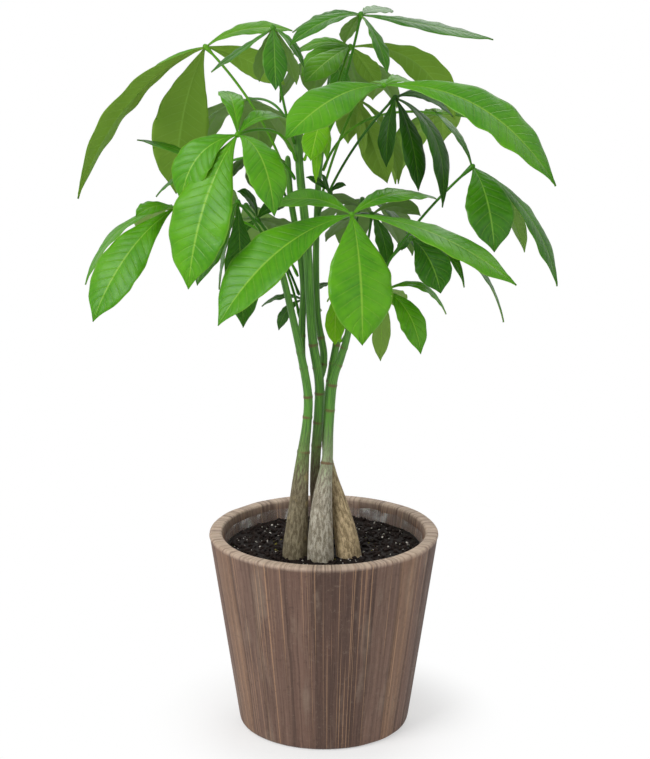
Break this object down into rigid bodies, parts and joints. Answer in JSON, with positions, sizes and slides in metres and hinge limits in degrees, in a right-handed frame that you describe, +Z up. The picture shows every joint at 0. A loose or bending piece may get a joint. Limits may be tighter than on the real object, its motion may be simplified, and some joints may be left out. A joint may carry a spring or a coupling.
{
  "type": "potted money tree",
  "caption": "Potted money tree: twined trunks with hand-shaped compound leaves, growing from dark soil in a lined, tapered round wooden pot.",
  "frame": {"origin": "centre of the pot's flat base, on the surface that it stands on", "axes": "+Z up along the pot's axis; -Y is the plant's front, towards the viewer; +X is to the viewer's right"},
  "size_m": [0.302, 0.2443, 0.4722],
  "materials": {
    "wood": "matt whitewashed brown wood, worn and paler along the rim",
    "film": "thin clear glossy film",
    "soil": "dark crumbly potting soil with pale grit",
    "bark": "grey-brown bark below, smooth green stem above",
    "leaf": "smooth green leaf with a soft shine"
  },
  "bodies": {
    "root": {"leaf_back_centre": "leaf", "leaf_back_left": "leaf", "leaf_back_low": "leaf", "leaf_back_low_left": "leaf", "leaf_back_right": "leaf", "leaf_back_top": "leaf", "leaf_centre": "leaf", "leaf_centre_low": "leaf", "leaf_front": "leaf", "leaf_inner": "leaf", "leaf_left_front": "leaf", "leaf_left_inner": "leaf", "leaf_left_low": "leaf", "leaf_left_mid": "leaf", "leaf_low_back": "leaf", "leaf_mid_left": "leaf", "leaf_mid_right": "leaf", "leaf_right": "leaf", "leaf_right_bottom": "leaf", "leaf_right_dark": "leaf", "leaf_right_low": "leaf", "leaf_right_top": "leaf", "leaf_top": "leaf", "leaf_top_back": "leaf", "leaf_top_left": "leaf", "leaf_upper_left": "leaf", "leaf_young": "leaf", "plastic_liner": "film", "soil": "soil", "trunk_back": "bark", "trunk_front": "bark", "trunk_left": "bark", "trunk_right": "bark", "wooden_pot": "wood"}
  },
  "joints": []
}
